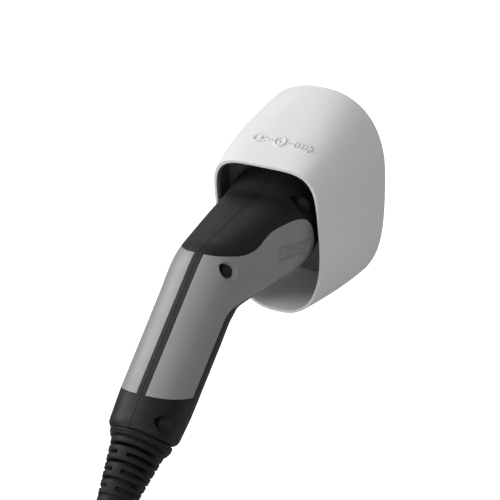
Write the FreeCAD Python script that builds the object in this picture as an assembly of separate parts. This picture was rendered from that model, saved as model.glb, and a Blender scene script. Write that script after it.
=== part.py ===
import FreeCAD, Part
import math
import os

# Wall holster for an electric-vehicle charging connector, with the connector plugged in.
# Millimetres. Origin: centre of the wall-screw pattern, on the wall face. The front faces -Y, +Z is up.
# Holster pieces are built in this frame. Connector pieces, and the holster pieces that receive the
# plug, are built in the plug frame (y along the plug axis into the socket, collar face at y = 0)
# and then tilted and moved into place.

V = FreeCAD.Vector

# --- plug and socket ---
plug_tilt = 10.0              # the plug axis rises this many degrees towards the wall
plug_face_y = -54.2           # centre of the seated collar face
plug_face_z = -0.4
nose_radius = 28.0
nose_flat = 23.0              # flat top of the nose, above its axis
nose_length = 40.0
nose_clearance = 0.6          # nose to socket bore, all round
face_gap = 0.4                # collar face to friction ring
collar_overhang = 6.0         # collar beyond the nose
collar_depth = 5.0

# --- hood and wall plate ---
shell_wall = 2.5
hood_top = 66.5
hood_bottom = -65.5
hood_flare = 12.2             # half width at the wall beyond the half width of the opening
opening_margin = 3.0          # collar to the side of the opening
opening_over_collar = 3.45    # opening edge above the collar
opening_under_collar = 35.35  # opening edge below the collar
opening_ahead = 16.04         # collar face sits this far inside the opening
hood_side_swell = 2.2         # the sides bulge this much halfway between wall and opening
hood_top_swell = 2.0
hood_bottom_swell = 0.6
rim_wall = 2.0
rim_line_back = 3.2           # decorative groove, behind the rim
rim_line_width = 0.7
rim_line_depth = 0.6
plate_thickness = 4.0
plate_clearance = 0.4
wall_hole_radius = 2.25
wall_pitch_x = 56.0
wall_pitch_z = 80.0
cup_wall = 2.4
cup_floor = 2.0
floor_gap = 1.0               # nose tip to cup floor
cup_flange_thickness = 3.0
cup_flange_front = 25.0       # front of the cup's fixing flange, from the wall
cup_screw_beside_cup = 6.0    # cup's fixing screws, beyond its outer wall
cup_screw_pitch_z = 40.0
boss_radius = 4.5
mouth_flange_thickness = 3.0
drain_radius = 2.0
liner_thickness = 2.0
liner_skirt = 1.2             # thickness of the liner's skirt along the hood's inner wall
liner_behind_rim = 3.0
liner_below = 36.0            # the liner ends this far below the plug axis
hook_x0 = 10.0                # hooks on the wall plate, from x0 to x1 each side
hook_x1 = 20.0
hook_reach = 6.0
hook_lip = 2.0
hook_bar = 3.0
hook_rise = 3.4
hook_drop = 12.0              # top of the hook bar below the hood top
rib_thickness = 3.4           # hood's rib that hangs behind the hook's lip
rib_gap = 0.4
shell_screw_x = 20.0
shell_screw_y = -9.5
shell_screw_head_radius = 2.8
shell_post_radius = 5.0
seat_above_bottom = 4.4       # screw-head seat inside the hood's bottom posts
lug_above_bottom = 7.0        # wall plate's lugs over those posts
lug_gap = 0.5
lug_width = 12.0
lug_height = 12.0
shell_screw_length = 10.0
cup_screw_length = 14.0

# --- handle ---
head_length = 98.0            # collar face to the corner where the grip starts
head_top = 22.8               # ridge above the plug axis
bend_angle = 35.0             # grip below the plug axis, degrees
grip_half_width = 23.5
grip_depth = 43.0
grip_length = 120.5            # along the finger side
grip_end_slope = 6.0          # the back of the grip is this much longer
grip_end_round = 6.0
end_taper = 1.2               # the grip narrows this much each side towards its end
grip_start = 29.0             # the bend ends this far along the grip
grip_slimming = 0.004         # half width lost per millimetre of grip
grip_power = 2.5              # roundness of the grip's section
section_step = 6.0            # spacing of the sections along the handle
handle_wall = 4.4
panel_thickness = 2.0
panel_gap = 0.3
strip_half_width = 3.25       # black strip between the two panels
panel_end_margin = 18.0       # end of the panels before the end of the grip
panel_end_slant = 12.6        # their front corner ends this much sooner
panel_front_n = -21.7         # front edge of the panels on the grip, behind its back
parting_gap = 0.1             # half of the line between the two handle shells
post_radius = 4.0
head_post_radius = 3.6
head_post_back = 17.2         # head post behind the collar face
head_post_drop = 4.2          # and below the ridge
recess_radius = 2.9
recess_flare = 0.75           # growth of the recess's radius per millimetre, near the surface
screw_head_radius = 2.6
screw_head_height = 2.4
screw_seat_x = 9.0
screw_bite = 9.0              # housing screws into the left half
shank_radius = 1.5
thread_clearance = 0.05
shank_clearance = 0.2

# --- contacts ---
power_bore_radius = 4.25
power_contact_radius = 4.0
power_pitch_x = 15.5
power_row_x = 8.2
power_row_z = -14.5
signal_bore_radius = 2.9
signal_contact_radius = 2.6
signal_row_x = 9.0
signal_row_z = 10.5
contact_flange = 0.9          # contact shoulder beyond its body
contact_recess = 8.0          # contact tip behind the nose face
carrier_flange = 1.2
carrier_flange_depth = 3.1
carrier_rear = 14.0           # rear face of the carrier, behind the collar face
carrier_rear_flat = 14.8
nose_edge_round = 1.5
shoulder = 3.0                # thickness of a contact's shoulder
barrel = 11.0                 # crimp barrel behind the carrier's rear face
power_pin_radius = 3.0
signal_pin_radius = 1.5
pin_depth = 24.0
slit_length = 14.0
slit_width = 0.8
fit = 0.1
retainer_thickness = 4.0
retainer_inset = 1.0
retainer_screw_inset = 6.2    # retainer screws, inside the nose's radius
retainer_screw_angle = 23.5   # upper ones above the horizontal, degrees
retainer_screw_length = 10.0
resistor_radius = 1.1
resistor_length = 4.4
lead_radius = 0.3
seal_thickness = 0.9

# --- cable entry ---
cable_radius = 8.0
cable_clearance = 0.2
relief_inside_grip = 1.0      # relief ring inside the grip's outline
relief_length = 50.0
relief_ring = 4.6             # plain ring next to the grip
relief_gap = 0.3
relief_tip_wall = 2.8         # rubber over the cable at the tip
relief_flange_thickness = 3.0
flange_play = 1.0             # relief's flange to the inside of the grip
slot_rows = 7
slot_width = 2.5
slot_floor_wall = 2.2         # rubber left over the cable under the slots
slot_rib = 3.2                # half width of the ribs between the slots
end_wall = 4.0
grommet_wall = 2.8
grommet_length = 12.0
grommet_outside_flange = 5.5  # grommet beyond the relief's flange
neck_wall = 1.5               # relief's neck over the grommet
clamp_from_end = 32.0         # start of the clamp before the end of the grip
clamp_length = 11.0
clamp_crown = 2.4             # clamp thickness over the cable
clamp_screw_beside_cable = 2.9
clamp_screw_margin = 2.4      # clamp beyond its screws
clamp_screw_bite = 6.0
clamp_face_x = 1.0
clamp_gap = 0.8

# --- sizes that follow ---
collar_radius = nose_radius + collar_overhang
opening_half_width = collar_radius + opening_margin
opening_above = collar_radius + opening_over_collar
opening_below = collar_radius + opening_under_collar
rim_half_width = opening_half_width + rim_wall
hood_half_width = opening_half_width + hood_flare
cup_outer_radius = nose_radius + nose_clearance + cup_wall
cup_screw_x = cup_outer_radius + cup_screw_beside_cup
boss_depth = cup_flange_front - cup_flange_thickness
seat_z = hood_bottom + seat_above_bottom
lug_z = hood_bottom + lug_above_bottom
panel_end = grip_length - panel_end_margin
contact_tip = nose_length - contact_recess
cable_bore = cable_radius + cable_clearance
grommet_radius = cable_bore + grommet_wall
relief_neck_radius = grommet_radius + neck_wall
grip_reach = min(grip_half_width, grip_depth / 2)
relief_radius = grip_reach - relief_inside_grip
relief_flange_radius = grip_reach - handle_wall - flange_play
clamp_screw_n = cable_bore + clamp_screw_beside_cable
clamp_half_height = clamp_screw_n + clamp_screw_margin
clamp_outer_x = cable_bore + clamp_crown
clamp_g = grip_length - clamp_from_end
flange_g = grip_length - end_wall - relief_flange_thickness
grommet_end = flange_g + grommet_outside_flange
relief_start = grip_length + grip_end_slope * 0.5 + relief_gap
axis_n = -grip_depth / 2      # the cable runs down the middle of the grip
bend = math.radians(bend_angle)
tilt = math.radians(plug_tilt)
grip_dir = V(0, -math.cos(bend), -math.sin(bend))
grip_back = V(0, -math.sin(bend), math.cos(bend))
corner = V(0, -head_length, head_top)
span = 150.0                  # longer than any piece, for cutting tools
X, Y, Z = V(1, 0, 0), V(0, 1, 0), V(0, 0, 1)
solids = {}


# ---------- helpers ----------
def polar(half_width, height, power, angle):
    """Point of a superellipse quadrant at an angle measured from the vertical."""
    s, c = math.sin(angle), math.cos(angle)
    r = ((s / half_width) ** power + (c / height) ** power) ** (-1.0 / power)
    return r * s, r * c


def half_section(top, bottom, half_width, n_top, n_bottom, split, inset=0.0, steps=9):
    """Right half of a rounded section between two points of the X = 0 plane, from top to bottom."""
    axis = (top - bottom).normalize()
    height = (top - bottom).Length
    centre = bottom + axis * height * split
    up, down, wide = height * (1 - split) - inset, height * split - inset, half_width - inset
    quarter = math.pi / 2
    points = []
    for i in range(steps):
        x, h = polar(wide, up, n_top, quarter * i / steps)
        points.append(centre + X * x + axis * h)
    for i in range(steps + 1):
        x, h = polar(wide, down, n_bottom, quarter * (1 - i / steps))
        points.append(centre + X * x - axis * h)
    return points


def mirrored(points):
    return [V(-p.x, p.y, p.z) for p in points]


def spline(points):
    curve = Part.BSplineCurve()
    side = X if points[1].x > 0 else X * -1
    curve.interpolate(Points=points, InitialTangent=side, FinalTangent=side * -1)
    return curve.toShape()


def half_wire(points):
    return Part.Wire([spline(points), Part.makeLine(points[-1], points[0])])


def full_wire(points):
    left = mirrored(points)
    return Part.Wire([spline(points), spline(left)])


def loft(wires):
    return Part.makeLoft(wires, True, False)


def rod(radius, start, direction, length):
    return Part.makeCylinder(radius, length, start, direction)


def cone(radius_1, radius_2, start, direction, length):
    return Part.makeCone(radius_1, radius_2, length, start, direction)


def block(x0, x1, y0, y1, z0, z1):
    return Part.makeBox(x1 - x0, y1 - y0, z1 - z0, V(x0, y0, z0))


def cut_all(shape, tools):
    for tool in tools:
        shape = shape.cut(tool)
    return shape


def fuse_all(shapes):
    whole = shapes[0]
    for shape in shapes[1:]:
        whole = whole.fuse(shape)
    return whole.removeSplitter()


def in_place(shape):
    """From the plug frame to the holster's frame."""
    moved = shape.copy()
    moved.rotate(V(0, 0, 0), X, plug_tilt)
    moved.translate(V(0, plug_face_y, plug_face_z))
    return moved


def to_frame(point):
    y = point.y * math.cos(tilt) - point.z * math.sin(tilt)
    z = point.y * math.sin(tilt) + point.z * math.cos(tilt)
    return V(point.x, plug_face_y + y, plug_face_z + z)


def nose_prism(offset, y0, y1, flat=None):
    """Round bar with a flat top: the nose's own section, offset outwards."""
    radius = nose_radius + offset
    top = (nose_flat if flat is None else flat) + offset
    bar = rod(radius, V(0, y0, 0), Y, y1 - y0)
    return bar.cut(block(-span, span, y0 - 1, y1 + 1, top, span))


def biggest(shape):
    """The main solid of a cut, without any sliver."""
    return max(shape.Solids, key=lambda s: s.Volume)


# ---------- holster ----------
def hood_loft(inset, y_behind=0.0, y_ahead=0.0):
    """Hood volume from the wall to the opening, inset by a wall thickness."""
    down = V(0, math.sin(tilt), -math.cos(tilt))
    ahead = V(0, -math.cos(tilt), -math.sin(tilt))
    centre = to_frame(V(0, -opening_ahead, 0))
    rim_top = centre - down * (opening_above + rim_wall)
    rim_bottom = centre + down * (opening_below + rim_wall)
    wall_top, wall_bottom = V(0, 0, hood_top), V(0, 0, hood_bottom)
    wires = []
    for t in (0.0, 0.34, 0.68, 1.0):
        swell = 4 * t * (1 - t)
        top = wall_top + (rim_top - wall_top) * t + V(0, -0.9, hood_top_swell) * swell
        bottom = wall_bottom + (rim_bottom - wall_bottom) * t - Z * hood_bottom_swell * swell
        width = hood_half_width + (rim_half_width - hood_half_width) * t + hood_side_swell * swell
        n_top = 2.35 + 2.15 * t ** 1.6        # rounder at the wall, squarer at the opening
        n_bottom = 3.1 - 0.55 * t
        split = 0.572 + 0.054 * t
        shift = V(0, y_behind, 0) if t == 0 else ahead * y_ahead if t == 1 else V(0, 0, 0)
        here = inset + (rim_wall - shell_wall if inset > 0 else 0) * t
        section = half_section(top + shift, bottom + shift, width, n_top, n_bottom, split, here)
        wires.append(full_wire(section))
    return loft(wires)


def wall_plate_points():
    return [V(sx * wall_pitch_x / 2, 0, sz * wall_pitch_z / 2) for sx in (-1, 1) for sz in (-1, 1)]


def cup_screw_points():
    axis_z = to_frame(V(0, (-cup_flange_front - plug_face_y) / math.cos(tilt), 0)).z
    return [V(sx * cup_screw_x, 0, axis_z + sz * cup_screw_pitch_z / 2)
            for sx in (-1, 1) for sz in (-1, 1)]


hood = hood_loft(0.0)
cavity = hood_loft(shell_wall, 1.0, 1.0)


def make_hood_shell():
    shell = hood.cut(cavity)
    line_far = to_frame(V(0, -opening_ahead + rim_line_back, 0))
    slab = block(-span, span, 0, rim_line_width, -span, span)
    slab.rotate(V(0, 0, 0), X, plug_tilt)
    slab.translate(line_far)
    groove = slab.common(hood).cut(hood_loft(rim_line_depth, 1.0, 1.0))
    shell = shell.cut(groove)
    for side in (-1, 1):
        post = rod(shell_post_radius, V(side * shell_screw_x, shell_screw_y, hood_bottom - 3), Z,
                   lug_z - hood_bottom + 3 - lug_gap)
        rib_x0 = min(side * hook_x0, side * hook_x1)
        rib_back = -plate_thickness - rib_gap
        rib = block(rib_x0, rib_x0 + hook_x1 - hook_x0, rib_back - rib_thickness, rib_back,
                    hood_top - hook_drop + rib_gap, hood_top)
        shell = shell.fuse(post.common(hood)).fuse(rib.common(hood))
    for side in (-1, 1):
        at = V(side * shell_screw_x, shell_screw_y, hood_bottom - 10)
        shell = shell.cut(rod(shell_screw_head_radius + 0.3, at, Z, 10 + seat_z - hood_bottom))
        shell = shell.cut(rod(shank_radius + shank_clearance, at, Z, 30))
    return shell.removeSplitter()


def make_wall_plate():
    plate = hood_loft(shell_wall + plate_clearance, 1.0, 1.0)
    plate = plate.common(block(-span, span, -plate_thickness, 0, -span, span))
    extras = []
    for p in cup_screw_points():
        extras.append(rod(boss_radius, V(p.x, -boss_depth, p.z), Y, boss_depth - 1))
    for side in (-1, 1):
        lug_x0 = side * shell_screw_x - lug_width / 2
        extras.append(block(lug_x0, lug_x0 + lug_width, shell_screw_y - shell_post_radius, -1,
                            lug_z, lug_z + lug_height))
        hook_x = min(side * hook_x0, side * hook_x1)
        bar_top = hood_top - hook_drop
        tip = -plate_thickness - hook_reach
        extras.append(block(hook_x, hook_x + hook_x1 - hook_x0, tip, -1, bar_top - hook_bar, bar_top))
        extras.append(block(hook_x, hook_x + hook_x1 - hook_x0, tip, tip + hook_lip,
                            bar_top - hook_bar, bar_top + hook_rise))
    plate = fuse_all([plate] + extras)
    thread = shank_radius + thread_clearance
    tools = [rod(wall_hole_radius, V(p.x, -span, p.z), Y, 2 * span) for p in wall_plate_points()]
    for p in cup_screw_points():
        tools.append(rod(thread, V(p.x, -boss_depth - 1, p.z), Y, boss_depth - 1))
    for side in (-1, 1):
        start = V(side * shell_screw_x, shell_screw_y, lug_z - 1)
        tools.append(rod(thread, start, Z, shell_screw_length + 1))
    return cut_all(plate, tools)


def pan_screw(seat, direction, length, head_radius=screw_head_radius, radius=shank_radius):
    """Screw with its head's underside at seat and its shank running along direction."""
    head = rod(head_radius, seat - direction * screw_head_height, direction, screw_head_height)
    drive = rod(head_radius * 0.45, seat - direction * screw_head_height, direction, screw_head_height * 0.5)
    return head.cut(drive).fuse(rod(radius, seat, direction, length)).removeSplitter()


def make_cup():
    floor_y = nose_length + floor_gap
    body = nose_prism(nose_clearance + cup_wall, face_gap + seal_thickness, floor_y + cup_floor)
    mouth = rod(collar_radius, V(0, face_gap + seal_thickness, 0), Y, mouth_flange_thickness)
    bore = nose_prism(nose_clearance, -1, floor_y)
    cup = in_place(body.fuse(mouth))
    pts = cup_screw_points()
    mid_z = (pts[0].z + pts[1].z) / 2
    half_x, half_z = cup_screw_x + boss_radius, cup_screw_pitch_z / 2 + boss_radius
    flange = block(-half_x, half_x, -cup_flange_front, -boss_depth, mid_z - half_z, mid_z + half_z)
    flange = flange.makeFillet(boss_radius - 0.5, [e for e in flange.Edges
                                                   if abs(e.Vertexes[0].Y - e.Vertexes[1].Y) > 1])
    cup = cup.fuse(flange).cut(in_place(bore))
    drain = rod(drain_radius, V(0, floor_y - 2, -nose_radius * 0.7), Y, cup_floor + 4)
    cup = cup.cut(in_place(drain))
    for p in pts:
        cup = cup.cut(rod(shank_radius + shank_clearance, V(p.x, -span, p.z), Y, span))
    return cup.removeSplitter()


def make_cup_ring():
    ring = rod(collar_radius - 0.6, V(0, face_gap, 0), Y, seal_thickness)
    return in_place(ring.cut(nose_prism(nose_clearance, -1, 5)))


def make_liner():
    """Black plate round the socket's mouth, with a skirt forward along the hood's inner wall."""
    y0 = face_gap + seal_thickness + mouth_flange_thickness
    outside = hood_loft(shell_wall + plate_clearance, 1.0, 1.0)
    inside = hood_loft(shell_wall + plate_clearance + liner_skirt, 1.0, 2.0)
    plate = in_place(block(-span, span, y0, y0 + liner_thickness, -liner_below, span)).common(outside)
    skirt = in_place(block(-span, span, liner_behind_rim - opening_ahead, y0 + 1, -liner_below, span))
    liner = plate.fuse(skirt.common(outside).cut(inside))
    round_cup = in_place(nose_prism(nose_clearance + cup_wall + 0.05, y0 - 5, y0 + 10))
    return biggest(liner.cut(round_cup).removeSplitter())


solids["holster_shell"] = make_hood_shell()
solids["wall_plate"] = make_wall_plate()
solids["socket_cup"] = make_cup()
solids["cup_ring"] = make_cup_ring()
solids["bezel_liner"] = make_liner()
solids["cup_screws"] = Part.Compound([pan_screw(V(p.x, -cup_flange_front, p.z), Y, cup_screw_length)
                                      for p in cup_screw_points()])
solids["shell_screws"] = Part.Compound([
    pan_screw(V(s * shell_screw_x, shell_screw_y, seat_z), Z, shell_screw_length) for s in (-1, 1)])


# ---------- handle ----------
def along_grip(g, n):
    """Point of the X = 0 plane: g along the grip from the corner, n out of its back."""
    return corner + grip_dir * g + grip_back * n


def head_at(fraction, height):
    return V(0, -fraction * head_length, height)


def handle_stations():
    """Sections along the handle: top, bottom, half width, two exponents, share below the middle."""
    wide, slim = collar_radius - 0.5, grip_half_width
    low = -collar_radius
    inner = along_grip(grip_start, -grip_depth)
    rows = [
        (head_at(0.015, wide), head_at(0.015, -wide), wide, 2.1, 2.1, 0.5),
        (head_at(0.07, collar_radius - 3.5), head_at(0.07, low), wide - 0.3, 2.3, 2.2, 0.5),
        (head_at(0.15, head_top + 2.7), head_at(0.15, low - 1.2), wide - 0.9, 2.7, 2.5, 0.55),
        (head_at(0.265, head_top), head_at(0.265, low - 0.8), wide - 1.9, 2.9, 2.6, 0.55),
        (head_at(0.43, head_top), head_at(0.43, low + 1.2), wide - 3.5, 2.9, 2.5, 0.55),
        (head_at(0.59, head_top), head_at(0.59, low + 3.2), wide - 5.2, 2.8, 2.5, 0.55),
        (head_at(0.755, head_top), head_at(0.755, inner.z + 0.2), slim + 2.8, 2.7, 2.5, 0.55),
        (head_at(0.885, head_top - 0.1), inner + V(0, 10.9, 1.4), slim + 1.4, 2.6, grip_power, 0.55),
    ]
    # the sections fan round the inside of the bend
    for g, drop, y, z, width in ((-1.7, 1.9, 6.9, 1.7, 0.8), (6.4, 0.4, 4.5, 1.3, 0.5),
                                 (14.2, 0.1, 2.4, 0.5, 0.3), (21.6, 0.0, 0.8, -0.3, 0.1)):
        rows.append((along_grip(g, -drop), inner + V(0, y, z), slim + width, grip_power, grip_power, 0.52))
    for share in (0.0, 0.3, 0.66, 1.0):
        g = grip_start + (grip_length - 22.0 - grip_start) * share
        width = slim - grip_slimming * g
        rows.append((along_grip(g, 0), along_grip(g, -grip_depth), width, grip_power, grip_power, 0.5))
    rows.append(end_row(grip_end_round))
    return rows


def end_row(back):
    """Section of the rounded, sloping end, this far back from it."""
    short = grip_end_round - back
    narrow = end_taper + grip_end_round - math.sqrt(grip_end_round ** 2 - short ** 2)
    top = along_grip(grip_length + grip_end_slope - back, -narrow)
    bottom = along_grip(grip_length - back, narrow - grip_depth)
    return (top, bottom, grip_half_width - narrow, grip_power, grip_power, 0.5)


def smooth_between(knots, values, t):
    """Cubic through the values that doesn't overshoot them."""
    last = len(knots) - 1
    i = max(k for k in range(last) if knots[k] <= t or k == 0)
    slopes = []
    for k in (i, i + 1):
        if k == 0 or k == last:
            j = min(k, last - 1)
            slopes.append((values[j + 1] - values[j]) / (knots[j + 1] - knots[j]))
            continue
        a = (values[k] - values[k - 1]) / (knots[k] - knots[k - 1])
        b = (values[k + 1] - values[k]) / (knots[k + 1] - knots[k])
        slopes.append(2 * a * b / (a + b) if a * b > 0 else 0.0)
    h = knots[i + 1] - knots[i]
    u = (t - knots[i]) / h
    return ((2 * u ** 3 - 3 * u ** 2 + 1) * values[i] + (u ** 3 - 2 * u ** 2 + u) * h * slopes[0]
            + (3 * u ** 2 - 2 * u ** 3) * values[i + 1] + (u ** 3 - u ** 2) * h * slopes[1])


def even_rows(rows):
    """The same handle, with sections at even steps along its middle."""
    knots = [0.0]
    for a, b in zip(rows, rows[1:]):
        knots.append(knots[-1] + ((b[0] + b[1]) * 0.5 - (a[0] + a[1]) * 0.5).Length)
    columns = [[r[k].y for r in rows] for k in (0, 1)] + [[r[k].z for r in rows] for k in (0, 1)]
    columns += [[r[k] for r in rows] for k in range(2, 6)]
    count = round(knots[-1] / section_step)
    even = []
    for i in range(count + 1):
        v = [smooth_between(knots, column, knots[-1] * i / count) for column in columns]
        even.append((V(0, v[0], v[2]), V(0, v[1], v[3]), *v[4:]))
    return even


def handle_loft(inset):
    """Right half of the handle's volume, cut back by a wall thickness all round."""
    rows = even_rows(handle_stations())
    rows += [end_row(grip_end_round * share) for share in (0.7, 0.42, 0.2, 0.07)]
    return loft([half_wire(half_section(*row, inset)) for row in rows])


def beyond_end(ahead_by):
    """Everything past the grip's sloping end, moved along the grip by ahead_by."""
    far = 60.0
    rise = grip_end_slope / grip_depth
    back_g = grip_length + grip_end_slope + rise * far + ahead_by
    front_g = grip_length - rise * far + ahead_by
    corners = [along_grip(back_g, far), along_grip(front_g, -grip_depth - far),
               along_grip(span * 2, -grip_depth - far), along_grip(span * 2, far), along_grip(back_g, far)]
    solid = Part.Face(Part.makePolygon(corners)).extrude(X * 2 * span)
    solid.translate(X * -span)
    return solid


def panel_region(grow):
    """Side outline of the panel, made into a thick slab on the +X side and grown by a gap."""
    upper = [(1.10, 26.5), (1.03, 20.6), (0.96, 18.0), (0.885, 15.1), (0.80, 12.9), (0.735, 12.3),
             (0.67, 13.0), (0.59, 14.3), (0.51, 14.7), (0.42, 13.8), (0.34, 12.6), (0.266, 10.8),
             (0.20, 7.4), (0.155, 0.0), (0.138, -8.0), (0.135, -15.0), (0.165, -23.0), (0.24, -28.0),
             (0.36, -28.8), (0.50, -26.8), (0.64, -23.2), (0.76, -20.8), (0.85, -18.6)]
    edge = [head_at(f, h) for f, h in upper]
    edge += [along_grip(19.5, -33.0), along_grip(26.0, -25.6), along_grip(33.0, panel_front_n - 0.7),
             along_grip(40.0, panel_front_n)]
    grown = []
    for i, p in enumerate(edge):
        along = edge[min(i + 1, len(edge) - 1)] - edge[max(i - 1, 0)]
        grown.append(p + V(0, -along.z, along.y).normalize() * grow)
    curve = Part.BSplineCurve()
    curve.interpolate(grown)
    end = panel_end + grow
    low_front, low_back = along_grip(end - panel_end_slant, panel_front_n - grow), along_grip(end, 0)
    outside = low_back + (low_back - low_front) * 0.5
    top_out = along_grip(-6.0, 14.0)
    corners = [grown[-1], low_front, low_back, outside, top_out, grown[0]]
    lines = [Part.makeLine(a, b) for a, b in zip(corners, corners[1:])]
    slab = Part.Face(Part.Wire([curve.toShape()] + lines)).extrude(X * span)
    slab.translate(X * (strip_half_width - grow))
    return slab


housing_screw_posts = [
    # centre, post radius, depth of the flared mouth
    (along_grip(7.6, -6.4), post_radius, 3.4),
    (V(0, -head_post_back, head_top - head_post_drop), head_post_radius, 1.0),
    (along_grip(grip_length - 5.4, -6.2), head_post_radius, 2.4),
]
outer = handle_loft(0.0)
under_panel = handle_loft(panel_thickness)
hollow = handle_loft(handle_wall)
keep_right = block(0, span, -2 * span, span, -span, span)


def grip_block(x0, x1, g0, g1, n0, n1):
    """Box whose sides follow the grip."""
    corners = [along_grip(g, n) for g, n in ((g0, n0), (g1, n0), (g1, n1), (g0, n1), (g0, n0))]
    face = Part.Face(Part.makePolygon(corners))
    solid = face.extrude(X * (x1 - x0))
    solid.translate(X * x0)
    return solid


def grip_rod(radius, g0, g1, n=None):
    return rod(radius, along_grip(g0, axis_n if n is None else n), grip_dir, g1 - g0)


def grip_disc(radius_0, radius_1, g0, g1):
    return cone(radius_0, radius_1, along_grip(g0, axis_n), grip_dir, g1 - g0)


def surface_x(centre):
    """Half width of the handle where a line along X through centre leaves it."""
    line = Part.makeLine(V(0.01, centre.y, centre.z), V(span, centre.y, centre.z))
    return line.common(outer).Length


def recess_tool(centre, mouth_depth):
    """Recess for a screw head, flared where it meets the surface."""
    out = surface_x(centre)
    start = V(screw_seat_x, centre.y, centre.z)
    straight = rod(recess_radius, start, X, span)
    flare_x = out - mouth_depth
    flare = cone(recess_radius, recess_radius + recess_flare * 12, V(flare_x, centre.y, centre.z), X, 12)
    return straight.fuse(flare)


def clamp_screw_points():
    middle = clamp_g + clamp_length / 2
    return [along_grip(middle, axis_n - clamp_screw_n), along_grip(middle, axis_n + clamp_screw_n)]


def make_handle_blank():
    """Right half of the handle housing, before its screw posts."""
    front_stop = block(-span, span, -collar_depth, span, -span, span)
    collar = rod(collar_radius, V(0, -collar_depth, 0), Y, collar_depth).common(keep_right)
    body = outer.cut(front_stop).fuse(collar)
    inside = hollow.cut(front_stop).cut(grip_rod(span, grip_length - end_wall, grip_length + span))
    pocket = nose_prism(carrier_flange + panel_gap, -collar_depth * 2, -collar_depth)
    inside = inside.fuse(pocket.common(keep_right))
    body = body.cut(inside)
    body = body.cut(panel_region(panel_gap).cut(under_panel))
    return body


def finish_half(body, side):
    """Adds the posts to one half, opens it for the nose and the cable, and trims it at the parting line."""
    for centre, radius, mouth in housing_screw_posts:
        post = rod(radius, V(0, centre.y, centre.z), X, span).common(under_panel)
        body = body.fuse(post)
    body = body.cut(nose_prism(panel_gap, -collar_depth - 1, 1))
    body = body.cut(grip_rod(relief_neck_radius + 0.2, flange_g + 1, grip_length + span))
    body = body.common(block(parting_gap, span, -2 * span, span, -span, span))
    if side < 0:
        rib = grip_block(clamp_face_x, span, clamp_g, clamp_g + clamp_length, axis_n - clamp_half_height - 1,
                         axis_n + clamp_half_height + 1)
        body = body.fuse(rib.common(under_panel))
        body = body.cut(grip_rod(cable_bore, clamp_g - 5, clamp_g + clamp_length + 5))
    bore = shank_radius + (shank_clearance if side > 0 else thread_clearance)
    for centre, radius, mouth in housing_screw_posts:
        depth = span if side > 0 else screw_bite + 1
        body = body.cut(rod(bore, V(-1, centre.y, centre.z), X, depth + 1))
        if side > 0:
            body = body.cut(recess_tool(centre, mouth))
    if side < 0:
        for start in clamp_screw_points():
            body = body.cut(rod(shank_radius + thread_clearance, start, X, clamp_screw_bite + 1))
        body = body.mirror(V(0, 0, 0), X)
    return biggest(body.removeSplitter())


def make_panel(side):
    panel = panel_region(0).common(outer).cut(under_panel)
    if side > 0:
        centre, radius, mouth = housing_screw_posts[0]
        panel = panel.cut(recess_tool(centre, mouth))
    panel = biggest(panel)
    return panel if side > 0 else panel.mirror(V(0, 0, 0), X)


blank = make_handle_blank()
solids["handle_shell_right"] = in_place(finish_half(blank, 1))
solids["handle_shell_left"] = in_place(finish_half(blank, -1))
solids["grip_panel_right"] = in_place(make_panel(1))
solids["grip_panel_left"] = in_place(make_panel(-1))
solids["housing_screws"] = in_place(Part.Compound([
    pan_screw(V(screw_seat_x, centre.y, centre.z), X * -1, screw_seat_x + screw_bite)
    for centre, radius, mouth in housing_screw_posts]))


# ---------- contacts ----------
power_points = [V(0, 0, 0), V(power_pitch_x, 0, 0), V(-power_pitch_x, 0, 0),
                V(power_row_x, 0, power_row_z), V(-power_row_x, 0, power_row_z)]
signal_points = [V(signal_row_x, 0, signal_row_z), V(-signal_row_x, 0, signal_row_z)]
screw_ring = nose_radius - retainer_screw_inset
retainer_screw_points = [V(screw_ring * math.cos(math.radians(a)), 0, screw_ring * math.sin(math.radians(a)))
                         for a in (retainer_screw_angle, 180 - retainer_screw_angle, -90)]


def make_carrier():
    flange_front = -collar_depth - seal_thickness
    flange_back = flange_front - carrier_flange_depth
    nose = nose_prism(0, flange_front, nose_length)
    tip = [e for e in nose.Edges if all(abs(v.Y - nose_length) < 0.01 for v in e.Vertexes)]
    nose = nose.makeFillet(nose_edge_round, tip)
    rear = nose_prism(0, -carrier_rear, flange_back + 0.5, carrier_rear_flat)
    body = nose.fuse(nose_prism(carrier_flange, flange_back, flange_front)).fuse(rear)
    behind = V(0, -carrier_rear - 1, 0)
    tools = []
    for points, bore, radius in ((power_points, power_bore_radius, power_contact_radius),
                                 (signal_points, signal_bore_radius, signal_contact_radius)):
        for p in points:
            tools.append(rod(bore, p + behind, Y, nose_length + carrier_rear + 2))
            tools.append(rod(radius + contact_flange + fit, p + behind, Y, shoulder + 1 + fit))
    for p in retainer_screw_points:
        tools.append(rod(shank_radius + thread_clearance, p + behind, Y, retainer_screw_length - 1))
    return cut_all(body, tools).removeSplitter()


def make_contact(p, radius, pin_radius):
    body = rod(radius, V(p.x, -carrier_rear - barrel, p.z), Y, contact_tip + carrier_rear + barrel)
    body = body.fuse(rod(radius + contact_flange, V(p.x, -carrier_rear, p.z), Y, shoulder))
    body = body.cut(rod(pin_radius, V(p.x, contact_tip - pin_depth, p.z), Y, pin_depth + 1))
    body = body.cut(rod(radius * 0.62, V(p.x, -carrier_rear - barrel - 1, p.z), Y, barrel - 1))
    slit = block(p.x - slit_width / 2, p.x + slit_width / 2, contact_tip - slit_length, contact_tip + 1,
                 p.z - radius - 1, p.z + radius + 1)
    return body.cut(slit).removeSplitter()


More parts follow.
